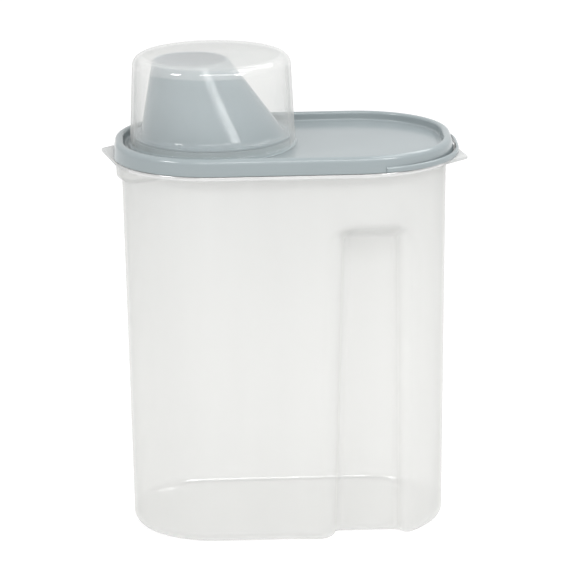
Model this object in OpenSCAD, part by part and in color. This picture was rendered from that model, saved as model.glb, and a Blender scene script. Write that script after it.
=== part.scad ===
// Dry-food keeper: a tall translucent container with a finger grip, a press-on lid
// with a raised rim, a leaning pour spout set in a collar, and a clear measuring cup
// that stands upside down over the spout. Millimetres, +Z up, the front is -Y, and the
// origin lies under the middle of the base. Every height is built up from the base.

/* [Lid] */
// length of the lid over its two round ends
lid_l = 188; // [170:1:230]
// depth of the lid from front to back
lid_w = 123; // [118:1:140]
// straight stretch at the middle of each round end
end_flat = 14; // [4:1:24]
// height from the lower edge of the skirt to the top of the rim
skirt_h = 9; // [8.4:0.1:14]
// wall of the skirt and of the leg that goes into the neck
lid_wall = 1.2; // [1:0.1:1.8]
// how far the skirt leans inwards on its way up
skirt_lean = 1; // [0:0.1:1.2]
// radius on the outer shoulder of the rim
rim_round = 3; // [1.5:0.1:3.2]
// radius on the inner shoulder of the rim
rim_inner_round = 1.6; // [0.8:0.1:1.8]
// how deep the panel lies below the top of the rim
panel_drop = 5; // [3.5:0.1:5.6]
// thickness of the panel
panel_t = 1.8; // [1.4:0.1:2.6]
// how far the leg of the rim reaches below the top of the panel
leg_depth = 3.2; // [2.6:0.1:3.4]
// how far the pull lip stands out at the right end
lip_out = 2.8; // [1:0.1:6]
// how far the pull lip runs back from the right end
lip_span = 43; // [20:1:50]
// height of the pull lip
lip_h = 3; // [2:0.1:5]

/* [Container] */
// height of the top face of the flange above the base
flange_top = 210; // [150:1:280]
// thickness of the flange and its tabs
flange_t = 1.9; // [1.4:0.1:3]
// how far the flange stands out past the skirt of the lid
flange_out = 0.4; // [0:0.1:1.5]
// how far the wall stands back from the edge of the lid
wall_inset = 4.4; // [4.2:0.1:6]
// how far the neck stands back from the edge of the lid
neck_inset = 2.9; // [2.7:0.1:3.4]
// wall thickness
wall = 1.4; // [1.2:0.1:1.8]
// thickness of the base
base_t = 2.2; // [1.6:0.1:4]
// how much narrower each side is at the base than under the flange
draft = 3.2; // [0:0.1:5]
// radius between the wall and the base
base_round = 7; // [4:0.5:9]
// height of the neck above the flange
neck_h = 6.8; // [6:0.1:7.2]
// height of the bead round the neck
bead_h = 2; // [1.2:0.1:3]

/* [Finger grip] */
// width of the flat floor of the grip
grip_floor = 28; // [16:1:32]
// distance from the right end of the lid to the middle of the grip
grip_from_end = 50.5; // [46:0.5:60]
// height of the top of the grip
grip_top = 178; // [90:1:180]
// depth of the grip, measured from the wall
grip_depth = 15; // [10:0.5:18]
// radius where the front wall turns into the grip
grip_edge = 9.5; // [7:0.5:12]
// radius where the grip turns back out to the round end
grip_heel = 5.5; // [5.5:0.5:8]
// radius in the corners of the grip
grip_corner = 4.5; // [2.5:0.5:7]
// radius round the upper right corner of the grip
grip_crown = 12; // [6:0.5:14]
// radius round the upper left corner of the grip
grip_turn = 30; // [14:0.5:32]
// how far the left side of the grip moves to the right on its way up
grip_draft = 6; // [0:0.5:8]

/* [Tabs and shoulder] */
// how far a tab reaches past the end of the lid
tab_reach = 6.5; // [3:0.5:12]
// how far the tip of the right tab lies off the centre line
tab_skew = 21; // [0:1:26]
// how much closer to the centre line the tip of the left tab lies
tab_offset = 4; // [0:1:10]
// length of the short side of a tab, along the depth
tab_short = 13; // [8:1:18]
// length of the long side of a tab, along the depth
tab_long = 37; // [24:1:44]
// height of the shoulder under the flange at the spout end
shoulder_h = 10.5; // [6:0.5:16]
// how far the shoulder stands out from the wall
shoulder_out = 3; // [1:0.1:3.4]
// how steeply the lower edge of the shoulder climbs to the flange
shoulder_rise = 22; // [15:1:40]

/* [Spout] */
// outer radius of the collar
collar_r = 43.9; // [38:0.1:44.5]
// wall of the collar
collar_wall = 1.9; // [1.4:0.1:3]
// height of the spout's seat above the panel
collar_h = 7; // [5:0.1:12]
// thickness of the spout's seat on top of the collar
seat_t = 1.6; // [1.2:0.1:2.4]
// how far the spigot of the spout reaches down into the collar
spigot_h = 6; // [3:0.5:9]
// radius of the spout where it leaves its seat
spout_root_r = 39.8; // [30:0.1:41]
// outer radius of the mouth
mouth_r = 21; // [12:0.5:24]
// how far the mouth leans towards the left end
mouth_lean = 11.6; // [0:0.1:14]
// height of the mouth above the seat
spout_h = 41.6; // [20:0.1:42]
// wall of the spout
spout_wall = 1.8; // [1.2:0.1:2.4]

/* [Measuring cup] */
// height of the cup from its rim to its closed end
cup_h = 51; // [50:0.5:70]
// wall of the cup
cup_wall = 1.5; // [1:0.1:2]
// how much smaller the closed end is than the rim, on the radius
cup_draft = 2; // [0:0.1:5]
// radius round the closed end
cup_round = 6; // [3:0.5:10]
// how far the bead round the rim stands out
cup_bead_out = 1.3; // [1:0.1:2]
// height of that bead
cup_bead_h = 2.8; // [2:0.1:4]

/* [Fits] */
// gap between a lifted piece and the face it rests on
seat_gap = 0.3; // [0.1:0.05:0.5]
// clearance between the leg of the lid and the neck
leg_gap = 0.4; // [0.3:0.05:0.6]
// clearance between the bead of the neck and the skirt
bead_gap = 0.4; // [0.3:0.05:0.6]
// clearance between the cup and the collar, on the radius
cup_gap = 0.35; // [0.2:0.05:0.6]
// gap between the bead of the cup and the rim at the spout end
cup_side_gap = 2.1; // [0.4:0.1:3]
// clearance between the spigot of the spout and the collar, on the radius
spigot_gap = 0.1; // [0.05:0.05:0.3]

/* [Hidden] */
$fn = 96;
eps = 0.02;
// how far the edge arcs of the grip cross the wall instead of only touching it
bite = 0.05;

half_l = lid_l / 2;
half_w = lid_w / 2;
corner_r = half_w - end_flat / 2;
core_l = half_l - corner_r;
core_w = half_w - corner_r;

skirt_z = flange_top + seat_gap;
rim_z = skirt_z + skirt_h;
panel_z = rim_z - panel_drop;
under_z = panel_z - panel_t;
leg_in = neck_inset + wall + leg_gap;
rim_in = leg_in + lid_wall;
channel_z = rim_z - lid_wall;
neck_z = flange_top + neck_h;
bead_in = lid_wall + 0.7 * skirt_lean + bead_gap;
bead_z = flange_top + neck_h * 0.4;
base_in = wall_inset + draft;

cup_r = collar_r + cup_gap + cup_wall;
collar_x = -half_l + rim_in + cup_side_gap + cup_r + cup_bead_out;
seat_z = panel_z + collar_h;
collar_top = seat_z - seat_t;
hole_r = collar_r - collar_wall;
spigot_r = hole_r - spigot_gap;
mouth_z = seat_z + spout_h;

cup_z = panel_z + seat_gap;
cup_top = cup_z + cup_h;

// the grip in plan: each side is an S of two arcs, one about an edge centre and one
// about a corner centre; the heel arc also touches the round end of the base
face_y = base_in - half_w;
end_mid = [core_l, -core_w];
end_r = corner_r - base_in;
grip_mid = half_l - grip_from_end;
corner_y = face_y + grip_depth - grip_corner;
left_corner = [grip_mid - grip_floor / 2, corner_y];
right_corner = [grip_mid + grip_floor / 2, corner_y];
edge_drop = grip_depth - grip_corner - grip_edge + bite;
edge_mid = left_corner - [sqrt((grip_corner + grip_edge) ^ 2 - edge_drop ^ 2), edge_drop];
heel_mid = meet(end_mid, end_r - grip_heel + bite, right_corner, grip_heel + grip_corner);
heel_end = aim(end_mid, heel_mid);
// how far the grip runs on past the wall, to cut right through it
grip_reach = 20;
grip_lean = atan(grip_draft / grip_top);
wall_lean = atan(draft / (flange_top - flange_t - base_round));

shell_color = [0.93, 0.93, 0.92, 0.55];
lid_color = [0.66, 0.70, 0.71];
cup_color = [0.92, 0.92, 0.91, 0.45];

// points of an arc, from angle a to angle b
function arc(x, y, r, a, b, steps = 8) =
    [for (i = [0 : steps]) [x + r * cos(a + (b - a) * i / steps), y + r * sin(a + (b - a) * i / steps)]];

// direction from one point to another, in degrees
function aim(from, to) = atan2(to.y - from.y, to.x - from.x);

// where two circles cross, on the left hand of the line from the first to the second
function meet(a, r_a, b, r_b) =
    let (d = norm(b - a), along = (d ^ 2 + r_a ^ 2 - r_b ^ 2) / (2 * d), u = (b - a) / d)
    a + along * u + sqrt(r_a ^ 2 - along ^ 2) * [-u.y, u.x];

// a 2D profile carried round the outline of the lid: x = 0 on the outline, inwards is -x
module around() {
    for (a = [0 : 90 : 270]) {
        sx = (a == 0 || a == 270) ? 1 : -1;
        sy = (a < 180) ? 1 : -1;
        translate([sx * core_l, sy * core_w, 0])
            rotate([0, 0, a])
                rotate_extrude(angle = 90)
                    translate([corner_r, 0])
                        children();
    }
    for (side = [0, 180]) {
        rotate([0, 0, side])
            translate([-core_l, -core_w, 0])
                rotate([90, 0, 90])
                    linear_extrude(2 * core_l)
                        mirror([1, 0])
                            translate([corner_r, 0])
                                children();
        rotate([0, 0, side])
            translate([core_l, core_w, 0])
                rotate([90, 0, 0])
                    linear_extrude(2 * core_w)
                        translate([corner_r, 0])
                            children();
    }
}

// the same, filled to the middle between two heights
module filled(low, high) {
    around()
        children();
    translate([-core_l, -core_w, low])
        cube([2 * core_l, 2 * core_w, high - low]);
}

// the outline of the lid as a 2D shape, moved inwards by inset
module outline(inset) {
    r = corner_r - inset;
    square([2 * core_l, 2 * (core_w + r)], center = true);
    square([2 * (core_l + r), 2 * core_w], center = true);
    for (sx = [-1, 1]) {
        for (sy = [-1, 1]) {
            translate([sx * core_l, sy * core_w])
                circle(r);
        }
    }
}

module plate(inset, low, high) {
    translate([0, 0, low])
        linear_extrude(high - low)
            outline(inset);
}

// section of the container from the base to the top of the neck, moved inwards by skin
module wall_section(skin, low, high) {
    round_r = base_round - skin;
    foot_x = -base_in - skin;
    step_z = flange_top - flange_t + 0.2 + 0.41 * skin;
    polygon(concat(
        [[-corner_r, low]],
        arc(foot_x - round_r, low + round_r, round_r, 270, 360),
        [[-wall_inset - skin, step_z], [-neck_inset - skin, step_z + wall_inset - neck_inset]],
        [[-neck_inset - skin, high], [-corner_r, high]]));
}

// the left side of the grip in plan, open towards -Y and to the right, grown by skin
module grip_left_plan(skin) {
    corner = grip_corner + skin;
    difference() {
        union() {
            polygon([
                [edge_mid.x, face_y - grip_reach],
                edge_mid,
                left_corner,
                left_corner + [0, corner],
                [half_l, corner_y + corner],
                [half_l, face_y - grip_reach]]);
            translate(left_corner)
                circle(corner);
        }
        translate(edge_mid)
            circle(grip_edge - skin);
    }
}

// the right side of the grip in plan, open towards -Y and to the left, grown by skin
module grip_right_plan(skin) {
    corner = grip_corner + skin;
    out = [cos(heel_end), sin(heel_end)];
    difference() {
        union() {
            polygon([
                [edge_mid.x - grip_reach, face_y - grip_reach],
                [edge_mid.x - grip_reach, corner_y + corner],
                right_corner + [0, corner],
                right_corner,
                heel_mid,
                end_mid + (end_r + grip_reach) * out]);
            translate(right_corner)
                circle(corner);
        }
        translate(heel_mid)
            circle(grip_heel - skin);
    }
}

// the grip seen from the front: a wide turn at its upper left, a tighter one at its upper right
module grip_view(skin) {
    turn = grip_turn + skin;
    crown = grip_crown + skin;
    left = edge_mid.x - skin;
    right = end_mid.x + end_r * cos(heel_end) + skin;
    top = grip_top + skin;
    translate([left, -base_round])
        square([right - left, top - turn + base_round]);
    translate([left + turn, -base_round])
        square([right - left - turn, top - crown + base_round]);
    translate([left + turn, -base_round])
        square([right - left - turn - crown, top + base_round]);
    intersection() {
        translate([left + turn, top - turn])
            circle(turn);
        translate([left, top - turn])
            square(turn);
    }
    translate([right - crown, top - crown])
        circle(crown);
}

// a prism on a plan of the grip, which keeps the lean of the wall and leans sideways
module grip_prism(side_lean) {
    translate([0, 0, base_round])
        rotate([wall_lean, 0, 0])
            rotate([0, side_lean, 0])
                translate([0, 0, -2 * base_round])
                    linear_extrude(grip_top + 3 * base_round)
                        children();
}

// the grip as a solid: it runs out through the base, and its left side leans to the right
module grip(skin) {
    intersection() {
        grip_prism(grip_lean)
            grip_left_plan(skin);
        grip_prism(0)
            grip_right_plan(skin);
        rotate([90, 0, 0])
            linear_extrude(lid_w)
                grip_view(skin);
    }
}

// the part of the wall that swells out under the flange at the spout end
module shoulder(skin) {
    low = flange_top - flange_t - shoulder_h;
    difference() {
        plate(wall_inset - shoulder_out + skin, low, flange_top - flange_t - skin + eps);
        translate([-half_l + wall_inset - shoulder_out, -lid_w, low + skin])
            rotate([0, -shoulder_rise, 0])
                translate([-lid_l, 0, -lid_l])
                    cube([3 * lid_l, 2 * lid_w, lid_l]);
    }
}

// plan of the flange at its right end, with the tab that points out of it
module tab_plan(skew) {
    tip = [half_l + tab_reach, -skew];
    polygon([
        tip,
        [half_l + flange_out, tip.y + tab_long],
        [core_l, tip.y + tab_long],
        [core_l, tip.y - tab_short],
        [tip.x - tab_short, tip.y - tab_short]]);
}

module flange() {
    translate([0, 0, flange_top - flange_t])
        linear_extrude(flange_t) {
            outline(-flange_out);
            tab_plan(tab_skew);
            rotate([0, 0, 180])
                tab_plan(tab_skew - tab_offset);
        }
}

// bead round the neck, with its outer corners taken off
module neck_bead() {
    cut = 0.3 * bead_h;
    back = -neck_inset - wall / 2;
    around()
        polygon([
            [back, bead_z],
            [-bead_in - cut, bead_z],
            [-bead_in, bead_z + cut],
            [-bead_in, bead_z + bead_h - cut],
            [-bead_in - cut, bead_z + bead_h],
            [back, bead_z + bead_h]]);
}

module container() {
    color(shell_color)
        difference() {
            union() {
                difference() {
                    filled(0, neck_z)
                        wall_section(0, 0, neck_z);
                    grip(0);
                }
                shoulder(0);
                flange();
                neck_bead();
            }
            difference() {
                union() {
                    filled(base_t, neck_z + 1)
                        wall_section(wall, base_t, neck_z + 1);
                    shoulder(wall);
                }
                grip(wall);
            }
        }
}

// section of the lid's rim: the leg that goes into the neck, the channel for the neck,
// the skirt, the two round shoulders and the fillet down to the panel
module rim_section() {
    leg_z = panel_z - leg_depth;
    inside = -lid_wall - skirt_lean;
    fillet = 1.2;
    polygon(concat(
        [[-rim_in - fillet, under_z], [-rim_in, under_z], [-rim_in, leg_z], [-leg_in, leg_z]],
        [[-leg_in, channel_z - 0.5], [-leg_in + 0.5, channel_z], [inside - 1.2, channel_z]],
        [[inside, channel_z - 1.2], [-lid_wall, skirt_z], [0, skirt_z]],
        arc(-skirt_lean - rim_round, rim_z - rim_round, rim_round, 0, 90),
        arc(-rim_in + rim_inner_round, rim_z - rim_inner_round, rim_inner_round, 90, 180, 6),
        arc(-rim_in - fillet, panel_z + fillet, fillet, 0, -90, 4)));
}

// crescent at the right end of the skirt to pull the lid off by
module pull_lip() {
    intersection() {
        translate([lip_out, 0, 0])
            around()
                polygon(concat(
                    [[-lip_out - lid_wall / 2, skirt_z], [0, skirt_z]],
                    arc(-1.2, skirt_z + lip_h - 1.2, 1.2, 0, 90, 4),
                    [[-lip_out - lid_wall / 2, skirt_z + lip_h]]));
        translate([half_l - lip_span, -lid_w, 0])
            cube([lid_l, 2 * lid_w, 2 * rim_z]);
        translate([0, 0, skirt_z - 1])
            linear_extrude(skirt_h)
                difference() {
                    outline(-lip_out - 1);
                    outline(lid_wall / 2);
                }
    }
}

module collar() {
    translate([collar_x, 0, 0])
        rotate_extrude()
            polygon(concat(
                [[hole_r, panel_z - panel_t], [collar_r, panel_z - panel_t]],
                [[collar_r, collar_top - 0.3], [collar_r - 0.3, collar_top], [hole_r, collar_top]]));
}

module lid() {
    color(lid_color)
        difference() {
            union() {
                around()
                    rim_section();
                pull_lip();
                plate(rim_in + 0.6, under_z, panel_z);
                collar();
            }
            translate([collar_x, 0, panel_z - 2 * panel_t])
                cylinder(r = hole_r, h = rim_z);
        }
}

// a leaning cone between the seat and the mouth, moved inwards by skin
module leaning_cone(skin, low, high) {
    hull() {
        translate([0, 0, low])
            cylinder(r = spout_root_r - skin, h = eps);
        translate([-mouth_lean, 0, high])
            cylinder(r = mouth_r - skin, h = eps);
    }
}

module pour_spout() {
    color(lid_color)
        translate([collar_x, 0, 0])
            difference() {
                union() {
                    translate([0, 0, collar_top])
                        cylinder(r = collar_r, h = seat_t);
                    translate([0, 0, collar_top - spigot_h])
                        cylinder(r = spigot_r, h = spigot_h + eps);
                    leaning_cone(0, seat_z - eps, mouth_z - eps);
                }
                leaning_cone(spout_wall, collar_top - eps, mouth_z);
                translate([0, 0, collar_top - spigot_h - 1])
                    cylinder(r = spout_root_r - spout_wall, h = spigot_h + 1 + eps);
            }
}

// section of the measuring cup, from its rim at the bottom to its closed end
module cup_section() {
    top_r = cup_r - cup_draft;
    bead_r = cup_bead_h / 2;
    polygon(concat(
        [[0, cup_top - cup_wall]],
        arc(top_r - cup_round, cup_top - cup_round, cup_round - cup_wall, 90, 0, 6),
        [[cup_r - cup_wall, cup_z]],
        arc(cup_r + cup_bead_out - bead_r, cup_z + bead_r, bead_r, -90, 60, 8),
        [[cup_r - 0.1, cup_z + cup_bead_h]],
        arc(top_r - cup_round, cup_top - cup_round, cup_round, 0, 90),
        [[0, cup_top]]));
}

module measuring_cup() {
    color(cup_color)
        translate([collar_x, 0, 0])
            rotate_extrude()
                cup_section();
}

container();
lid();
pour_spout();
measuring_cup();
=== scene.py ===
import math

import bmesh
import bpy
from mathutils import Matrix, Vector


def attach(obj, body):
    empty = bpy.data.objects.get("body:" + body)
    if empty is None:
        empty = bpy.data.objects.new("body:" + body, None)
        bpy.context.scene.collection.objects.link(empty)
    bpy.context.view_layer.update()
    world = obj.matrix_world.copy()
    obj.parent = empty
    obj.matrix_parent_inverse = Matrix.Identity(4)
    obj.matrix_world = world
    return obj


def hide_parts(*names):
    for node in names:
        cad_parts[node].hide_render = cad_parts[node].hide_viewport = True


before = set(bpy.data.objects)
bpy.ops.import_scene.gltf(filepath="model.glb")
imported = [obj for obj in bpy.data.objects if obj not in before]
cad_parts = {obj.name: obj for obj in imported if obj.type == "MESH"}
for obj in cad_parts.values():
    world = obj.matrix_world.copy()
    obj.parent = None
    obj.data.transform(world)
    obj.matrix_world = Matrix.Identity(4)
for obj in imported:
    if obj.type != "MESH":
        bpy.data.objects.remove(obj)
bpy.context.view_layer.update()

mm = 0.001

# sizes are in millimetres; every "...In" is measured in from the lid's outline, and ledge and plateStart
# from the inner side of its rim
lid = {"halfL": 94.0, "halfW": 61.5, "flat": 14.0, "skirtZ": 210.3, "rimZ": 219.3, "panelZ": 214.3,
       "panelT": 1.8, "wall": 1.2, "lean": 1.0, "round": 3.0, "inRound": 1.6, "rimIn": 5.9,
       "legDrop": 3.2, "fillet": 1.2, "footRound": 0.35, "soften": 0.3, "channelEdge": 0.5,
       "ledge": 3.0, "plateStart": 2.9}
# every outline is a quarter arc about each corner of this core, with straights between
cornerR = lid["halfW"] - lid["flat"] / 2
coreL = lid["halfL"] - cornerR
coreW = lid["halfW"] - cornerR
arcSteps = 40
# the collar stands so that the bead of the cup clears the rim beside it by 2.1
collar = {"x": -38.95, "r": 43.9, "holeR": 42.0, "topZ": 219.7, "round": 0.35, "fillet": 0.8,
          "sunk": 0.05, "steps": 144}
pullLip = {"out": 2.8, "h": 3.0, "cutX": 51.0, "root": 1.5, "round": 1.1, "steps": 72,
           "straight": 0.06, "past": 0.12}
print("frame loaded", sorted(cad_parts), "spout axis at", collar["x"])


def arc(x, y, r, a, b, steps):
    return [(x + r * math.cos(math.radians(a + (b - a) * i / steps)),
             y + r * math.sin(math.radians(a + (b - a) * i / steps))) for i in range(steps + 1)]


def cornerPoints(sx, sy, r, a, b, steps):
    # arc about the corner of the core on that side
    return [Vector(p) for p in arc(sx * coreL, sy * coreW, r, a, b, steps)]


def fullTurn(steps):
    return [2 * math.pi * i / steps for i in range(steps)]


def outline(inset):
    # ring of points round the lid's outline, moved inwards, starting at the right
    pts = []
    for k, (sx, sy) in enumerate(((1, 1), (-1, 1), (-1, -1), (1, -1))):
        pts += arc(sx * coreL, sy * coreW, cornerR - inset, 90 * k, 90 * k + 90, arcSteps)
        x, y = pts[-1]
        pts.append((x, 0.0) if k % 2 else (0.0, y))  # middle of the straight that follows
    return pts


def ontoOutline(x, y, inset):
    # the place beside x, y on the outline moved inwards by inset
    nearX, nearY = max(-coreL, min(coreL, x)), max(-coreW, min(coreW, y))
    away = Vector((x - nearX, y - nearY))
    away = away.normalized() if away.length > 1e-6 else Vector((0, -1))
    return nearX + away.x * (cornerR - inset), nearY + away.y * (cornerR - inset)


def smooth(t):
    t = max(0.0, min(1.0, t))
    return t * t * (3 - 2 * t)


def addRings(bm, rings, closed=False):
    # quads between rings with the same count of points; closed joins the last ring to the first
    rows = [[bm.verts.new((x * mm, y * mm, z * mm)) for x, y, z in ring] for ring in rings]
    count = len(rows[0])
    for low, high in list(zip(rows, rows[1:])) + ([(rows[-1], rows[0])] if closed else []):
        for i in range(count):
            j = (i + 1) % count
            bm.faces.new((low[i], low[j], high[j], high[i]))
    return rows


def lathe(bm, profile, steps, closed=True):
    # radius and height, turned about the axis of the collar
    return addRings(bm, [[(collar["x"] + r * math.cos(a), r * math.sin(a), z) for a in fullTurn(steps)]
                         for r, z in profile], closed)


def holedPlate(bm, outer, inner, z):
    # flat face between two loops of points
    loops = []
    for pts in (outer, inner):
        verts = [bm.verts.new((x * mm, y * mm, z * mm)) for x, y in pts]
        loops += [bm.edges.new((verts[i], verts[(i + 1) % len(verts)])) for i in range(len(verts))]
    bmesh.ops.triangle_fill(bm, use_beauty=True, use_dissolve=False, edges=loops)


def finishMesh(name, bm, body, cadNode, sharp=32):
    bmesh.ops.recalc_face_normals(bm, faces=bm.faces)
    for f in bm.faces:
        f.smooth = True
    for e in bm.edges:
        if len(e.link_faces) == 2 and e.calc_face_angle(0) > math.radians(sharp):
            e.smooth = False
    mesh = bpy.data.meshes.new(name)
    bm.to_mesh(mesh)
    bm.free()
    obj = bpy.data.objects.new(name, mesh)
    bpy.context.scene.collection.objects.link(obj)
    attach(obj, body)
    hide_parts(cadNode)
    print(name, "faces", len(mesh.polygons))
    return obj


def buildLid():
    bm = bmesh.new()
    rimIn, wall, soften, fillet = lid["rimIn"], lid["wall"], lid["soften"], lid["fillet"]
    rimZ, panelZ, skirtZ = lid["rimZ"], lid["panelZ"], lid["skirtZ"]
    legZ, underZ, channelZ = panelZ - lid["legDrop"], panelZ - lid["panelT"], rimZ - wall
    legIn, skirtIn = rimIn - wall, wall + lid["lean"]
    # section of the rim from under the panel, round the outside, to the top of the panel
    section = [(-rimIn - lid["ledge"], underZ), (-rimIn - soften, underZ), (-rimIn, underZ - soften),
               (-rimIn, legZ + soften), (-rimIn + soften, legZ), (-legIn - soften, legZ),
               (-legIn, legZ + soften), (-legIn, channelZ - lid["channelEdge"]),
               (-legIn + lid["channelEdge"], channelZ), (-skirtIn - fillet, channelZ),
               (-skirtIn, channelZ - fillet), (-wall, skirtZ)]
    section += arc(-lid["footRound"], skirtZ + lid["footRound"], lid["footRound"], -90, 0, 4)
    section += arc(-lid["lean"] - lid["round"], rimZ - lid["round"], lid["round"], 4, 90, 16)
    section += arc(-rimIn + lid["inRound"], rimZ - lid["inRound"], lid["inRound"], 90, 180, 12)
    section += arc(-rimIn - fillet, panelZ + fillet, fillet, 0, -90, 8)
    section += [(-rimIn - lid["ledge"], panelZ)]
    addRings(bm, [[(x, y, z) for x, y in outline(-out)] for out, z in section], True)
    # the sunken panel with the hole under the spout, and the collar round the hole
    holeR, r, steps = collar["holeR"], collar["r"], collar["steps"]
    hole = [(collar["x"] + holeR * math.cos(a), holeR * math.sin(a)) for a in fullTurn(steps)]
    for z in (panelZ, underZ):
        holedPlate(bm, outline(rimIn + lid["plateStart"]), hole, z)
    foot, edge, topZ = collar["fillet"], collar["round"], collar["topZ"]
    lathe(bm, [(holeR, underZ), (r, underZ), (r + foot + 0.1, panelZ - collar["sunk"])] +
          arc(r + foot, panelZ + foot, foot, -90, -180, 6) +
          [(r, topZ - 0.4)] + arc(r - edge, topZ - edge, edge, 0, 90, 3) + [(holeR, topZ)], steps)
    addPullLip(bm)
    bmesh.ops.remove_doubles(bm, verts=bm.verts, dist=1e-7)
    # slot 1 is the lid's own plastic painted lighter on the collar's outer wall: painted light that lifts
    # the shade under the cup
    for f in bm.faces:
        c = f.calc_center_median() / mm
        away = math.hypot(c.x - collar["x"], c.y) - r
        if -0.5 < away < 1.1 and c.z > panelZ + 0.1:
            f.material_index = 1  # outer wall of the collar
    return finishMesh("lid_moulding", bm, "lid", "lid")


def addPullLip(bm):
    # the outline moved towards the right end, cut off square near the front and back
    h, root, edge = pullLip["h"], pullLip["root"], pullLip["round"]
    section = [(-root, 0.0), (-0.5, 0.0), (-0.12, 0.12), (0.0, 0.5), (0.0, h - edge - 0.1)] + \
        arc(-edge, h - edge, edge, 10, 90, 6) + [(-root, h)]
    cut = math.acos((pullLip["cutX"] - coreL) / cornerR)  # angle from the middle to the cut
    straight, steps, rings = pullLip["straight"], pullLip["steps"], []
    for i in range(steps + 1):
        t = -1 + 2 * i / steps
        # two arcs with the short straight between them
        if abs(t) > straight:
            a, cy = max(-cut, min(cut, t * (cut + pullLip["past"]))), math.copysign(coreW, t)
        else:
            a, cy = 0.0, coreW * t / straight
        cx = coreL + pullLip["out"]
        rings.append([(cx + (cornerR + out) * math.cos(a), cy + (cornerR + out) * math.sin(a),
                       lid["skirtZ"] + up) for out, up in section])
    rows = addRings(bm, rings)
    bm.faces.new(rows[0])
    bm.faces.new(list(reversed(rows[-1])))


spout = {"rootR": 39.8, "mouthR": 21.0, "lean": 11.6, "seatZ": 221.3, "h": 41.6, "wall": 1.8,
         "seatR": 43.9, "seatLowZ": 219.7, "spigotR": 41.9, "spigotZ": 213.7, "boreR": 38.0,
         "steps": 160, "rows": 24}


def buildSpout():
    bm = bmesh.new()
    steps, rows, wall = spout["steps"], spout["rows"], spout["wall"]
    rootR, seatR, seatZ, lowZ = spout["rootR"], spout["seatR"], spout["seatZ"], spout["seatLowZ"]
    spigotR, spigotZ = spout["spigotR"], spout["spigotZ"]

    def ring(r, z, lean):
        return [(collar["x"] - lean + r * math.cos(a), r * math.sin(a), z) for a in fullTurn(steps)]

    def coneR(t):
        return rootR + (spout["mouthR"] - rootR) * t

    def cone(t, skin):
        # t runs from 0 at the seat to 1 at the mouth
        return ring(coneR(t) - skin, seatZ + spout["h"] * t, spout["lean"] * t)

    # the spigot and the seat, as radius and height
    seat = [(spout["boreR"], spigotZ), (spigotR - 0.3, spigotZ), (spigotR, spigotZ + 0.3),
            (spigotR, lowZ), (seatR - 0.35, lowZ), (seatR, lowZ + 0.3), (seatR, seatZ - 0.4),
            (seatR - 0.15, seatZ - 0.12), (seatR - 0.5, seatZ), (rootR + 1.1, seatZ)]
    rings = [ring(r, z, 0) for r, z in seat]
    # small fillet at the root of the cone
    rings += [ring(rootR + out, seatZ + up, lean)
              for out, up, lean in ((0.55, 0.12, 0.03), (0.15, 0.45, 0.1))]
    rings += [cone(0.02 + 0.93 * i / rows, 0) for i in range(rows + 1)]
    # rounded lip at the mouth
    rings += [cone(t, skin) for t, skin in
              ((0.965, -0.02), (0.985, 0.12), (0.997, 0.45), (1.0, 0.8), (1.0, 1.1),
               (0.997, 1.45), (0.985, 1.75), (0.965, 1.85))]
    rings += [cone(0.95 - 0.95 * i / rows, wall) for i in range(rows + 1)]
    addRings(bm, rings, True)
    # slot 1, the inside of the cone, is the same plastic painted bluer and lighter: painted light that
    # undoes the warm light reaching it from the container
    for f in bm.faces:
        c = f.calc_center_median() / mm
        t = (c.z - seatZ) / spout["h"]
        if t > 0 and math.hypot(c.x - collar["x"] + spout["lean"] * t, c.y) < coneR(t) - wall / 2 - 0.3:
            f.material_index = 1  # inside of the cone
    return finishMesh("spout_moulding", bm, "lid", "pour_spout", sharp=40)


cup = {"r": 45.75, "z": 214.6, "h": 51.0, "wall": 1.5, "draft": 2.0, "round": 6.0,
       "beadOut": 1.3, "beadH": 2.8, "steps": 180}


def buildCup():
    bm = bmesh.new()
    wall, z, bead, turn = cup["wall"], cup["z"], cup["beadH"] / 2, cup["round"]
    top, topR, beadTop = z + cup["h"], cup["r"] - cup["draft"], z + cup["beadH"]
    middle, discR = 0.001, (10, 20, 30)

    def side(t, skin):
        # t runs from 0 under the shoulder to 1 at the rim
        return topR - skin + cup["draft"] * t, top - turn - (cup["h"] - turn) * t

    # from the middle of the inside, down to the beaded rim, and up the outside
    profile = [(r, top - wall) for r in (middle, *discR)]
    profile += arc(topR - turn, top - turn, turn - wall, 90, 0, 14)
    profile += [side(t, wall) for t in (0.25, 0.5, 0.75, 0.99)]
    profile += [(cup["r"] - wall + 0.3, z)]
    profile += arc(cup["r"] + cup["beadOut"] - bead, z + bead, bead, -88, 60, 12)
    profile += [(cup["r"] + 0.1, beadTop - 0.05), (cup["r"] - 0.1, beadTop + 0.2)]
    profile += [side(t, 0) for t in (0.75, 0.5, 0.25)]
    profile += arc(topR - turn, top - turn, turn, 0, 90, 16)
    profile += [(r, top) for r in (*reversed(discR), middle)]
    lathe(bm, profile, cup["steps"], closed=False)
    for f in bm.faces:
        c = f.calc_center_median() / mm
        if c.z < beadTop + 0.3:
            f.material_index = 2  # the beaded rim
        elif c.z > top - turn - 0.2 and math.hypot(c.x - collar["x"], c.y) > topR - turn:
            f.material_index = 1  # the shoulder
    return finishMesh("cup_moulding", bm, "cup", "measuring_cup", sharp=50)


# the wall is made of rings, wallStep apart; bands: where closer rings start and stop, and their step
container = {"wallIn": 4.4, "neckIn": 2.9, "wall": 1.4, "base": 2.2, "draft": 3.2, "round": 7.0,
             "flangeZ": 210.0, "flangeT": 1.9, "neckZ": 216.8, "beadZ": 212.72,
             "frontSteps": 16, "backSteps": 12, "plainZ": 190, "wallStep": 6,
             "bands": ((150, 179, 0.5), (181, 192, 3), (193, 208, 0.6))}
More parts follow.
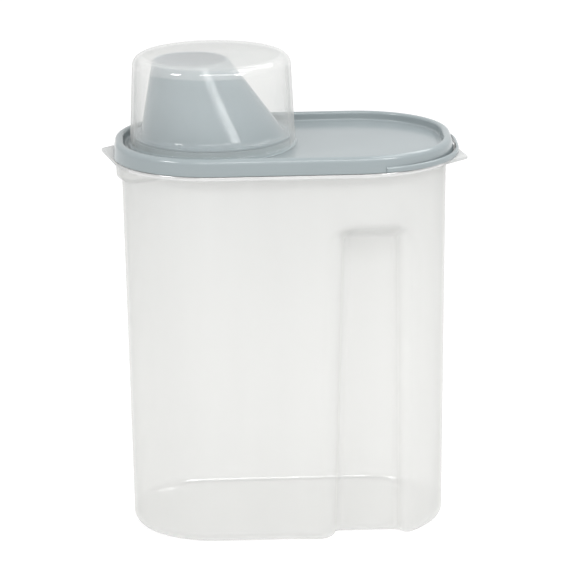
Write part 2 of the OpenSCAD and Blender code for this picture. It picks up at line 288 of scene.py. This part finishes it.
# radii: edge at its left, heel at its right, corner at its floor; turn and crown at its upper corners
grip = {"floor": 26.5, "mid": 42.75, "top": 179.4, "depth": 15.0, "edge": 9.5, "heel": 5.5,
        "corner": 4.5, "foot": 4.6, "footEdge": 5.4, "footFade": 16, "crown": 12.0, "turn": 15.0,
        "draft": 6.0, "roof": 9.5, "floorSteps": 16}
# hollow swell under the flange at the spout end; its lower edge rises towards the middle
shoulder = {"h": 10.6, "startIn": 1.4, "rise": 22, "blend": 2.6, "out": 3.0, "endX": -40,
            "skinShare": 0.6, "bulge": 0.8}
flange = {"tabReach": 6.5, "tipBack": 0.25, "tabLong": 37, "skewRight": 21.0, "skewLeft": 17.0,
          "tipRound": 1.2, "fillIn": 3.8, "edge": 0.4, "tabY": 36}


def gripPath(skin, shift):
    # plan of the wall at its base, as arcs and lines with a fixed count of points, its left side moved
    # right by shift; gives the indented points, their places on the plain outline, and its two ends
    baseIn = container["wallIn"] + container["draft"]
    faceY = baseIn - lid["halfW"]
    endR = cornerR - baseIn
    edge, heel, corner, steps = grip["edge"], grip["heel"], grip["corner"], grip["floorSteps"]
    cy = faceY + grip["depth"] - corner
    left = Vector((grip["mid"] - grip["floor"] / 2 + shift, cy))
    right = Vector((grip["mid"] + grip["floor"] / 2, cy))
    drop = grip["depth"] - corner - edge
    edgeMid = left - Vector((math.sqrt((corner + edge) ** 2 - drop ** 2), drop))
    # the heel touches the corner arc of the grip and the round end of the container
    end = Vector((coreL, -coreW))
    d = (right - end).length
    along = (d * d + (endR - heel) ** 2 - (heel + corner) ** 2) / (2 * d)
    u = (right - end) / d
    heelMid = end + along * u + math.sqrt((endR - heel) ** 2 - along ** 2) * Vector((-u.y, u.x))
    edgeTurn = math.degrees(math.atan2(left.y - edgeMid.y, left.x - edgeMid.x))
    heelTurn = math.degrees(math.atan2(heelMid.y - right.y, heelMid.x - right.x))
    heelEnd = math.degrees(math.atan2(heelMid.y - end.y, heelMid.x - end.x))
    cut = arc(edgeMid.x, edgeMid.y, edge - skin, -90, edgeTurn, 18)
    cut += arc(left.x, left.y, corner + skin, edgeTurn + 180, 90, 14)[1:]
    cut += [(left.x + (right.x - left.x) * i / steps, cy + corner + skin) for i in range(1, steps)]
    cut += arc(right.x, right.y, corner + skin, 90, heelTurn, 12)
    cut += arc(heelMid.x, heelMid.y, heel - skin, heelTurn + 180, heelEnd + 360, 18)[1:]
    # the plain outline from the same start to the same end, spaced by the distance along the cut
    lengths = [0.0]
    for a, b in zip(cut, cut[1:]):
        lengths.append(lengths[-1] + math.dist(a, b))
    r = endR - skin
    straight = coreL - edgeMid.x
    total = straight + r * math.radians(heelEnd + 90)
    plain = []
    for length in lengths:
        t = length / lengths[-1] * total
        if t <= straight:
            plain.append((edgeMid.x + t, faceY + skin))
        else:
            a = math.radians(-90 + math.degrees((t - straight) / r))
            plain.append((coreL + r * math.cos(a), -coreW + r * math.sin(a)))
    return cut, plain, edgeMid.x, heelEnd


# where the two sides of the grip meet the plain wall
edgeSpan, edgeDrop = grip["corner"] + grip["edge"], grip["depth"] - grip["corner"] - grip["edge"]
grip["leftX"] = grip["mid"] - grip["floor"] / 2 - math.sqrt(edgeSpan ** 2 - edgeDrop ** 2)
grip["rightX"] = gripPath(0.0, 0.0)[1][-1][0]


def roofDrop(x, skin):
    # how much lower the roof of the grip lies at x than at its middle: the turns at its two upper corners
    drop, turn, crown = 0.0, grip["turn"] + skin, grip["crown"] + skin
    off = grip["leftX"] - skin + turn - x
    if off > 0:
        drop = turn - math.sqrt(max(0.0, turn * turn - off * off))
    off = x - (grip["rightX"] + skin - crown)
    if off > 0:
        drop = max(drop, crown - math.sqrt(max(0.0, crown * crown - off * off)))
    return drop


def shoulderSwell(x, z, skin):
    top = container["flangeZ"] - container["flangeT"]
    edgeZ = top - shoulder["h"] + \
        (x + lid["halfL"] - shoulder["startIn"]) * math.tan(math.radians(shoulder["rise"]))
    t = max(0.0, min(1.0, (z + shoulder["skinShare"] * skin - edgeZ) / shoulder["blend"]))
    if x < shoulder["endX"] and t > 0:
        return shoulder["out"] * math.sin(t * math.pi / 2) ** shoulder["bulge"]
    return 0.0


def wallRing(z, skin):
    # one ring of the wall at height z: skin 0 is the outside, the wall thickness the inside
    top = container["flangeZ"] - container["flangeT"]
    grow = max(0.0, min(1.0, (z - container["round"]) / (top - container["round"]))) * container["draft"]
    floorZ = container["base"] if skin else 0.0
    cut, plain, startX, endAngle = gripPath(skin, grip["draft"] * (z - container["round"]) / grip["top"])
    front = Vector((0, -1))
    pts, feet = [], []  # feet: the radius of the rounding at the foot, point by point
    for c, p in zip(cut, plain):
        h = smooth((grip["top"] + skin - roofDrop(c[0], skin) - z) / grip["roof"])
        # the wall leans: the plain wall moves out square to itself, the grip moves to the front
        out = Vector((p[0] - coreL, p[1] + coreW)).normalized() if p[0] > coreL else front
        pts.append(Vector(p).lerp(Vector(c), h) + grow * out.lerp(front, h))
        inGrip = min(1.0, math.dist(c, p) / (0.6 * grip["depth"]))
        feet.append(grip["footEdge"] + (grip["foot"] - grip["footEdge"]) * inGrip)
    r = cornerR - container["wallIn"] - container["draft"] + grow - skin
    frontSteps, backSteps = container["frontSteps"], container["backSteps"]
    rest = cornerPoints(1, -1, r, endAngle, 0, 14)[1:]
    rest += cornerPoints(1, 1, r, 0, 90, arcSteps)
    rest += [Vector((coreL - 2 * coreL * i / backSteps, coreW + r)) for i in range(1, backSteps)]
    rest += cornerPoints(-1, 1, r, 90, 180, arcSteps)
    rest += cornerPoints(-1, -1, r, 180, 270, arcSteps)
    rest += [Vector((-coreL + (startX + coreL) * i / frontSteps, -coreW - r)) for i in range(1, frontSteps)]
    # the rounding at the foot gets smaller towards the grip
    for q in rest:
        t = smooth(min(math.dist(q, pts[-1]), math.dist(q, pts[0])) / grip["footFade"])
        feet.append(grip["footEdge"] + (container["round"] - grip["footEdge"]) * t)
    pts += rest
    moved = []
    for i, q in enumerate(pts):
        along = (pts[(i + 1) % len(pts)] - pts[i - 1]).normalized()
        normal = Vector((along.y, -along.x))  # outwards, since the ring runs anticlockwise
        move, footR = 0.0, feet[i] - skin
        if z < floorZ + footR:
            k = footR - (z - floorZ)
            move -= footR - math.sqrt(max(0.0, footR * footR - k * k))
        move += shoulderSwell(q.x, z, skin)
        moved.append((q.x + normal.x * move, q.y + normal.y * move, z))
    return moved


def ringHeights(low, foot):
    # close together at the foot, round the roof of the grip and under the flange
    bands, wallStep = container["bands"], container["wallStep"]
    heights = [low + foot * (1 - math.cos(math.radians(a))) for a in range(0, 91, 6)]
    for z, stop, step in ((heights[-1] + wallStep / 2, bands[0][0], wallStep), *bands):
        while z < stop:
            heights.append(z)
            z += step
    return heights


def buildContainer():
    bm = bmesh.new()
    wall, neckIn, base, turn = container["wall"], container["neckIn"], container["base"], container["round"]
    top, bead, neckZ = container["flangeZ"] - container["flangeT"], container["beadZ"], container["neckZ"]
    outer = [wallRing(z, 0.0) for z in ringHeights(0.0, turn) + [top + 0.2]]
    inner = [wallRing(z, wall) for z in ringHeights(base, turn - wall) + [top + 0.2]]
    places = wallRing(container["plainZ"], 0.0)  # a ring above the grip

    def neckRing(inset, z):
        # as many points as a wall ring, at the same places along the outline
        return [(*ontoOutline(x, y, inset), z) for x, y, _ in places]

    # the beaded neck, up its outside and down its inside, as inset and height
    neck = [(neckIn, top + 1.8), (neckIn, bead - 0.2)]
    neck += [(neckIn - out, bead + up)
             for out, up in ((0.15, 0.15), (0.48, 0.5), (0.6, 1.0), (0.48, 1.5), (0.15, 1.85))]
    neck += [(neckIn, bead + 2.2), (neckIn, neckZ - 0.6), (neckIn + 0.2, neckZ - 0.2),
             (neckIn + 0.55, neckZ), (neckIn + wall - 0.5, neckZ), (neckIn + wall - 0.15, neckZ - 0.15),
             (neckIn + wall, neckZ - 0.5), (neckIn + wall, container["flangeZ"] + 0.6)]
    rows = addRings(bm, outer + [neckRing(inset, z) for inset, z in neck] + inner[::-1])
    bm.faces.new(list(reversed(rows[0])))
    bm.faces.new(rows[-1])
    bmesh.ops.recalc_face_normals(bm, faces=bm.faces)
    # slot 2 on the rounding inside the base: glossier, and painted lighter as a painted highlight
    for f in bm.faces:
        if base + 0.05 < f.calc_center_median().z / mm < turn and f.normal.z > 0.3:
            f.material_index = 2  # rounding round the inside of the base
    addFlange(bm)
    return finishMesh("container_moulding", bm, "container", "container", sharp=38)


def addFlange(bm):
    low, high = container["flangeZ"] - container["flangeT"], container["flangeZ"]
    tipRound, edge = flange["tipRound"], flange["edge"]

    def endPoints(grow, skew):
        # the round end with a straight-edged tab pointing out of it
        r = cornerR + grow
        tip = Vector((lid["halfL"] + flange["tabReach"] - flange["tipBack"] + grow * 0.6, -skew))
        far = Vector((lid["halfL"] + grow, tip.y + flange["tabLong"]))
        # where the short edge of the tab, running back at 45 degrees, meets the round end
        slope = Vector((-1, -1)).normalized()
        off = tip - Vector((coreL, -coreW))
        b = off.dot(slope)
        disc = b * b - (off.length_squared - r * r)
        near = tip + slope * (-b - math.sqrt(disc) if disc > 0 else -b)
        nearAngle = math.degrees(math.atan2(near.y + coreW, near.x - coreL))
        pts = cornerPoints(1, -1, r, -90, nearAngle, 30)
        pts += [near.lerp(tip, i / 8) for i in range(1, 8)]
        pts += [tip + (near - tip).normalized() * a * tipRound for a in (0.5, 0.2, 0.0)]
        pts += [tip + (far - tip).normalized() * a * tipRound for a in (0.2, 0.5)]
        # long edge of the tab back to the round end
        off = far - Vector((coreL, coreW))
        farAngle = math.degrees(math.atan2(max(0.0, off.y), off.x))
        back = cornerPoints(1, 1, r, farAngle, 90, 34)
        return pts + [tip.lerp(back[0], i / 12) for i in range(1, 13)] + back[1:]

    def ring(grow, z):
        right = endPoints(grow, flange["skewRight"])
        left = [-p for p in endPoints(grow, flange["skewLeft"])]
        return [(p.x, p.y, z) for p in right + left]

    def inside(z):
        # the closing ring lies on the round outline under the lid, so that the tabs are filled
        return [(*ontoOutline(x, y, flange["fillIn"]), z) for x, y, _ in ring(0.0, z)]

    rings = [inside(low), ring(0.0, low), ring(0.25, low + 0.08), ring(edge, low + 0.35),
             ring(edge, high - 0.35), ring(0.25, high - 0.08), ring(0.0, high), inside(high)]
    before = len(bm.faces)
    count = len(addRings(bm, rings, True)[0])
    bm.faces.ensure_lookup_table()
    for i in range(before, len(bm.faces)):
        f, pair = bm.faces[i], (i - before) // count
        # 2 on the edge along the front and back, glossier and painted lighter as a painted highlight line,
        # 1 on the faces and the tabs
        onEdge = 1 <= pair <= 5 and abs(f.calc_center_median().y) > flange["tabY"] * mm
        f.material_index = 2 if onEdge else 1


lidPiece = buildLid()
spoutPiece = buildSpout()
cupPiece = buildCup()
containerPiece = buildContainer()


def newMaterial(name, **sockets):
    m = bpy.data.materials.new(name)
    m.use_nodes = True
    shader = m.node_tree.nodes["Principled BSDF"]
    for key, value in sockets.items():
        shader.inputs[key.replace("_", " ")].default_value = value
    return m, shader


def node(m, kind, **settings):
    n = m.node_tree.nodes.new(kind)
    for key, value in settings.items():
        if key in n.inputs:
            n.inputs[key].default_value = value
        else:
            setattr(n, key, value)
    return n


def link(m, a, b):
    m.node_tree.links.new(a, b)


def toneRamp(m, fac, stops):
    n = node(m, "ShaderNodeValToRGB")
    for stop, (position, colour) in zip(n.color_ramp.elements, stops):
        stop.position, stop.color = position, (*colour, 1)
    link(m, fac, n.inputs["Fac"])
    return n.outputs["Color"]


def mapRange(m, value, low, high):
    n = node(m, "ShaderNodeMapRange")
    n.inputs["To Min"].default_value, n.inputs["To Max"].default_value = low, high
    link(m, value, n.inputs["Value"])
    return n.outputs["Result"]


def raised(m, value, power):
    n = node(m, "ShaderNodeMath", operation="POWER")
    n.inputs[1].default_value = power
    link(m, value, n.inputs[0])
    return n.outputs[0]


def mixShaders(m, share, first, second):
    n = node(m, "ShaderNodeMixShader")
    if isinstance(share, float):
        n.inputs[0].default_value = share
    else:
        link(m, share, n.inputs[0])
    link(m, first, n.inputs[1])
    link(m, second, n.inputs[2])
    return n.outputs[0]


moulded = {"ior": 1.49, "drift": 14.0, "grain": 1400.0, "glossDown": 0.03, "glossUp": 0.04,
           "bump": 0.05, "bumpDepth": 0.0001}


def mouldedPlastic(name, finish):
    # satin moulded plastic: a faint tone drift, fine grain in gloss and height
    rough = finish["rough"]
    m, shader = newMaterial(name, Roughness=rough, IOR=moulded["ior"])
    coords = node(m, "ShaderNodeTexCoord")
    drift = node(m, "ShaderNodeTexNoise", Scale=moulded["drift"], Detail=3.0, Roughness=0.5)
    grain = node(m, "ShaderNodeTexNoise", Scale=moulded["grain"], Detail=4.0, Roughness=0.6)
    for n in (drift, grain):
        link(m, coords.outputs["Object"], n.inputs["Vector"])
    tone = toneRamp(m, drift.outputs["Fac"], ((0.35, finish["dark"]), (0.65, finish["light"])))
    link(m, tone, shader.inputs["Base Color"])
    gloss = mapRange(m, grain.outputs["Fac"], rough - moulded["glossDown"], rough + moulded["glossUp"])
    link(m, gloss, shader.inputs["Roughness"])
    bump = node(m, "ShaderNodeBump", Strength=moulded["bump"], Distance=moulded["bumpDepth"])
    link(m, grain.outputs["Fac"], bump.inputs["Height"])
    link(m, bump.outputs["Normal"], shader.inputs["Normal"])
    return m


melt = {"ior": 1.49, "streaks": 26.0, "upwards": 0.15, "bump": 0.15, "bumpDepth": 0.0003,
        "milkPower": 3.0, "depthPower": 7.0, "shinePower": 5.0, "edgeShine": 0.25}


def seeThroughPlastic(name, finish):
    # milky plastic: haze over what shows through it, with more haze and a deeper tint where the wall is
    # seen edge on, under the shine of its surface
    m, shader = newMaterial(name, Roughness=finish["rough"], IOR=melt["ior"], Specular_IOR_Level=0.0)
    coords = node(m, "ShaderNodeTexCoord")
    stretch = node(m, "ShaderNodeMapping")
    stretch.inputs["Scale"].default_value = (1, 1, melt["upwards"])  # the melt ran up from the base
    streaks = node(m, "ShaderNodeTexNoise", Scale=melt["streaks"], Detail=2.0, Roughness=0.5)
    link(m, coords.outputs["Object"], stretch.inputs["Vector"])
    link(m, stretch.outputs["Vector"], streaks.inputs["Vector"])
    streak = streaks.outputs["Fac"]
    facing = node(m, "ShaderNodeLayerWeight", Blend=0.5).outputs["Facing"]
    # the milk: lit on its own side, and glowing with what falls on the other
    tone = toneRamp(m, streak, ((0.3, finish["dark"]), (0.7, finish["light"])))
    haze = node(m, "ShaderNodeBsdfTranslucent")
    link(m, tone, shader.inputs["Base Color"])
    link(m, tone, haze.inputs["Color"])
    milk = mixShaders(m, finish["glow"], shader.outputs["BSDF"], haze.outputs["BSDF"])
    # what shows through: a longer way through the wall takes more light, and the darkening edge on goes
    # beyond that as painted shade for the dark edges that light bent in the wall gives
    tint, deep = finish["tint"], finish["deep"]
    through = node(m, "ShaderNodeBsdfTransparent")
    depth = toneRamp(m, raised(m, facing, melt["depthPower"]),
                     ((0.0, (tint, tint, tint - 0.003)), (1.0, (deep, deep, deep - 0.01))))
    link(m, depth, through.inputs["Color"])
    share = node(m, "ShaderNodeMath", operation="MULTIPLY")
    cover = mapRange(m, raised(m, facing, melt["milkPower"]), finish["milk"], finish["edge"])
    link(m, cover, share.inputs[0])
    link(m, mapRange(m, streak, 1 - finish["streak"], 1 + finish["streak"]), share.inputs[1])
    wall = mixShaders(m, share.outputs[0], through.outputs["BSDF"], milk)
    # the shine, stronger edge on
    bump = node(m, "ShaderNodeBump", Strength=melt["bump"], Distance=melt["bumpDepth"])
    link(m, streak, bump.inputs["Height"])
    shine = node(m, "ShaderNodeBsdfGlossy", Roughness=finish["rough"])
    link(m, bump.outputs["Normal"], shine.inputs["Normal"])
    mirror = mapRange(m, raised(m, facing, melt["shinePower"]), finish["polish"],
                      max(melt["edgeShine"], finish["polish"]))
    coat = mixShaders(m, mirror, wall, shine.outputs["BSDF"])
    link(m, coat, m.node_tree.nodes["Material Output"].inputs["Surface"])
    return m


rimFinish = {"light": (0.242, 0.276, 0.286), "dark": (0.234, 0.268, 0.277), "rough": 0.17}
# the collar: the same plastic as the rim, painted lighter as painted light against the shade under the cup
collarPaintedLightFinish = {"light": (0.315, 0.370, 0.388), "dark": (0.306, 0.361, 0.378), "rough": 0.15}
# the spout: the same plastic as the lid, painted a little lighter as painted light against the shade of the
# cup over it
spoutPaintedLightFinish = {"light": (0.262, 0.314, 0.337), "dark": (0.254, 0.306, 0.328), "rough": 0.09}
# the inside of the spout: the same plastic painted bluer, painted light that undoes the warm light from the
# container below
mouthPaintedLightFinish = {"light": (0.245, 0.322, 0.385), "dark": (0.238, 0.314, 0.376), "rough": 0.15}
# milk and edge: share of haze seen square on and edge on; glow: share of the haze lit from behind;
# tint and deep: what the wall lets through square on and edge on; polish: shine seen square on
containerFinish = {"light": (0.835, 0.835, 0.824), "dark": (0.81, 0.81, 0.799), "rough": 0.14, "milk": 0.37,
                   "edge": 0.60, "tint": 0.982, "deep": 0.80, "glow": 0.55, "streak": 0.05, "polish": 0.035}
flangeFinish = dict(containerFinish, light=(0.66, 0.667, 0.665), dark=(0.64, 0.647, 0.645),
                    milk=0.75, edge=0.85, tint=0.95, glow=0.3)
# glossier, and painted lighter than the wall: a painted highlight, on the rounding inside the base and on
# the flange's front and back edge
glossPaintedHighlightFinish = dict(containerFinish, light=(0.93, 0.93, 0.92), dark=(0.92, 0.92, 0.91),
                      milk=0.5, edge=0.65, tint=0.985, glow=0.4, polish=0.50)
cupFinish = {"light": (0.79, 0.79, 0.78), "dark": (0.78, 0.78, 0.77), "rough": 0.10, "milk": 0.13,
             "edge": 0.60, "tint": 0.970, "deep": 0.62, "glow": 0.5, "streak": 0.05, "polish": 0.004}
shoulderFinish = dict(cupFinish, light=(0.80, 0.80, 0.79), dark=(0.79, 0.79, 0.78), rough=0.07,
                      milk=0.20, deep=0.70, glow=0.4, polish=0.045)
cupRimFinish = dict(cupFinish, light=(0.74, 0.79, 0.81), dark=(0.73, 0.78, 0.80), rough=0.14,
                    milk=0.12, edge=0.30, tint=0.985, deep=0.92, polish=0.02)
# in the order of the slots that the build functions gave to the faces
slots = {
    lidPiece: (mouldedPlastic("blue_grey_plastic", rimFinish),
               mouldedPlastic("blue_grey_plastic_collar_painted_light", collarPaintedLightFinish)),
    spoutPiece: (mouldedPlastic("blue_grey_plastic_spout_painted_light", spoutPaintedLightFinish),
                 mouldedPlastic("blue_grey_plastic_mouth_painted_light", mouthPaintedLightFinish)),
    cupPiece: (seeThroughPlastic("clear_plastic", cupFinish),
               seeThroughPlastic("clear_plastic_polished", shoulderFinish),
               seeThroughPlastic("clear_plastic_rim", cupRimFinish)),
    containerPiece: (seeThroughPlastic("natural_plastic", containerFinish),
                     seeThroughPlastic("natural_plastic_thick", flangeFinish),
                     seeThroughPlastic("natural_plastic_gloss_and_painted_highlight", glossPaintedHighlightFinish)),
}
for piece, plastics in slots.items():
    for plastic in plastics:
        piece.data.materials.append(plastic)
print("materials set")


# metres; the paper glows a little, which keeps it white under the see-through base
table = {"half": 6.0, "z": -0.0002, "rough": 0.9, "glow": 0.72, "dark": 0.29, "light": 0.31, "cloud": 3.0}


def buildTable():
    bm = bmesh.new()
    half, z = table["half"], table["z"]
    corners = ((-half, -half, z), (half, -half, z), (half, half, z), (-half, half, z))
    bm.faces.new([bm.verts.new(p) for p in corners])
    mesh = bpy.data.meshes.new("floor")
    bm.to_mesh(mesh)
    bm.free()
    floor = bpy.data.objects.new("floor", mesh)
    bpy.context.scene.collection.objects.link(floor)
    m, shader = newMaterial("floor_paper", Roughness=table["rough"], Emission_Color=(1, 1, 1, 1),
                            Emission_Strength=table["glow"])
    coords = node(m, "ShaderNodeTexCoord")
    noise = node(m, "ShaderNodeTexNoise", Scale=table["cloud"], Detail=2.0)
    link(m, coords.outputs["Object"], noise.inputs["Vector"])
    tone = toneRamp(m, noise.outputs["Fac"], ((0.0, (table["dark"],) * 3), (1.0, (table["light"],) * 3)))
    link(m, tone, shader.inputs["Base Color"])
    mesh.materials.append(m)


studio = {"aim": (0, 0, 0.22), "sky": 0.85}
# degrees from the front towards the right, degrees above the floor, distance, width, height, power
lamps = {
    "key": (-62, 36, 1.6, 0.40, 0.40, 7),
    "right box": (44, 40, 1.6, 0.40, 0.50, 7.6),
    "front top": (6, 49, 1.6, 1.2, 0.34, 9),
    "fill": (0, 20, 3.0, 1.8, 1.2, 4.5),
    "back": (138, 46, 1.9, 1.2, 0.5, 7.5),
    "panel": (96, 66, 0.9, 0.35, 0.35, 1.6),
}


def addLamp(name, azimuth, elevation, distance, width, height, power):
    a, e = math.radians(azimuth), math.radians(elevation)
    aim = Vector(studio["aim"])
    data = bpy.data.lights.new(name, "AREA")
    data.shape = "RECTANGLE"
    data.energy, data.size, data.size_y = power, width, height
    lamp = bpy.data.objects.new(name, data)
    away = Vector((math.cos(e) * math.sin(a), -math.cos(e) * math.cos(a), math.sin(e)))
    lamp.location = aim + distance * away
    lamp.rotation_euler = (aim - lamp.location).to_track_quat("-Z", "Y").to_euler()
    bpy.context.scene.collection.objects.link(lamp)


buildTable()
world = bpy.data.worlds.new("studio")
bpy.context.scene.world = world
world.use_nodes = True
sky = world.node_tree.nodes["Background"]
sky.inputs["Color"].default_value = (1, 1, 1, 1)
sky.inputs["Strength"].default_value = studio["sky"]
for lampName, setting in lamps.items():
    addLamp(lampName, *setting)
bpy.context.scene.view_settings.view_transform = "Standard"

# place in millimetres, angles in degrees, focal length and offset in pixels of a render this wide
view = {"place": (-89.005, -2258.563, 730.118), "yaw": -2.257, "pitch": 14.907, "roll": -0.730,
        "focal": 4187.35, "offX": -2.915, "offZ": 5.287, "pixels": 576, "sensor": 36}


def turnAboutZ(v, angle):
    c, s = math.cos(angle), math.sin(angle)
    return Vector((c * v.x - s * v.y, s * v.x + c * v.y, v.z))


def placeCamera():
    yaw, pitch, roll = (math.radians(view[k]) for k in ("yaw", "pitch", "roll"))
    forward = Vector((0, math.cos(pitch), -math.sin(pitch)))
    up = Vector((0, math.sin(pitch), math.cos(pitch)))
    right = Vector((1, 0, 0))
    side = math.cos(roll) * right + math.sin(roll) * up
    top = -math.sin(roll) * right + math.cos(roll) * up
    forward, side, top = (turnAboutZ(v, yaw) for v in (forward, side, top))
    # the offset turns the camera a little instead of shifting its lens
    aim = (forward - side * view["offX"] / view["focal"] + top * view["offZ"] / view["focal"]).normalized()
    side = (side - aim * side.dot(aim)).normalized()
    top = side.cross(aim)
    data = bpy.data.cameras.new("camera")
    data.sensor_width = view["sensor"]
    data.lens = view["focal"] / view["pixels"] * view["sensor"]
    camera = bpy.data.objects.new("camera", data)
    m = Matrix((side, top, -aim)).transposed().to_4x4()
    m.translation = Vector(view["place"]) * mm
    camera.matrix_world = m
    bpy.context.scene.collection.objects.link(camera)
    bpy.context.scene.camera = camera


placeCamera()
print("stage, lights and camera set")
bpy.context.view_layer.update()
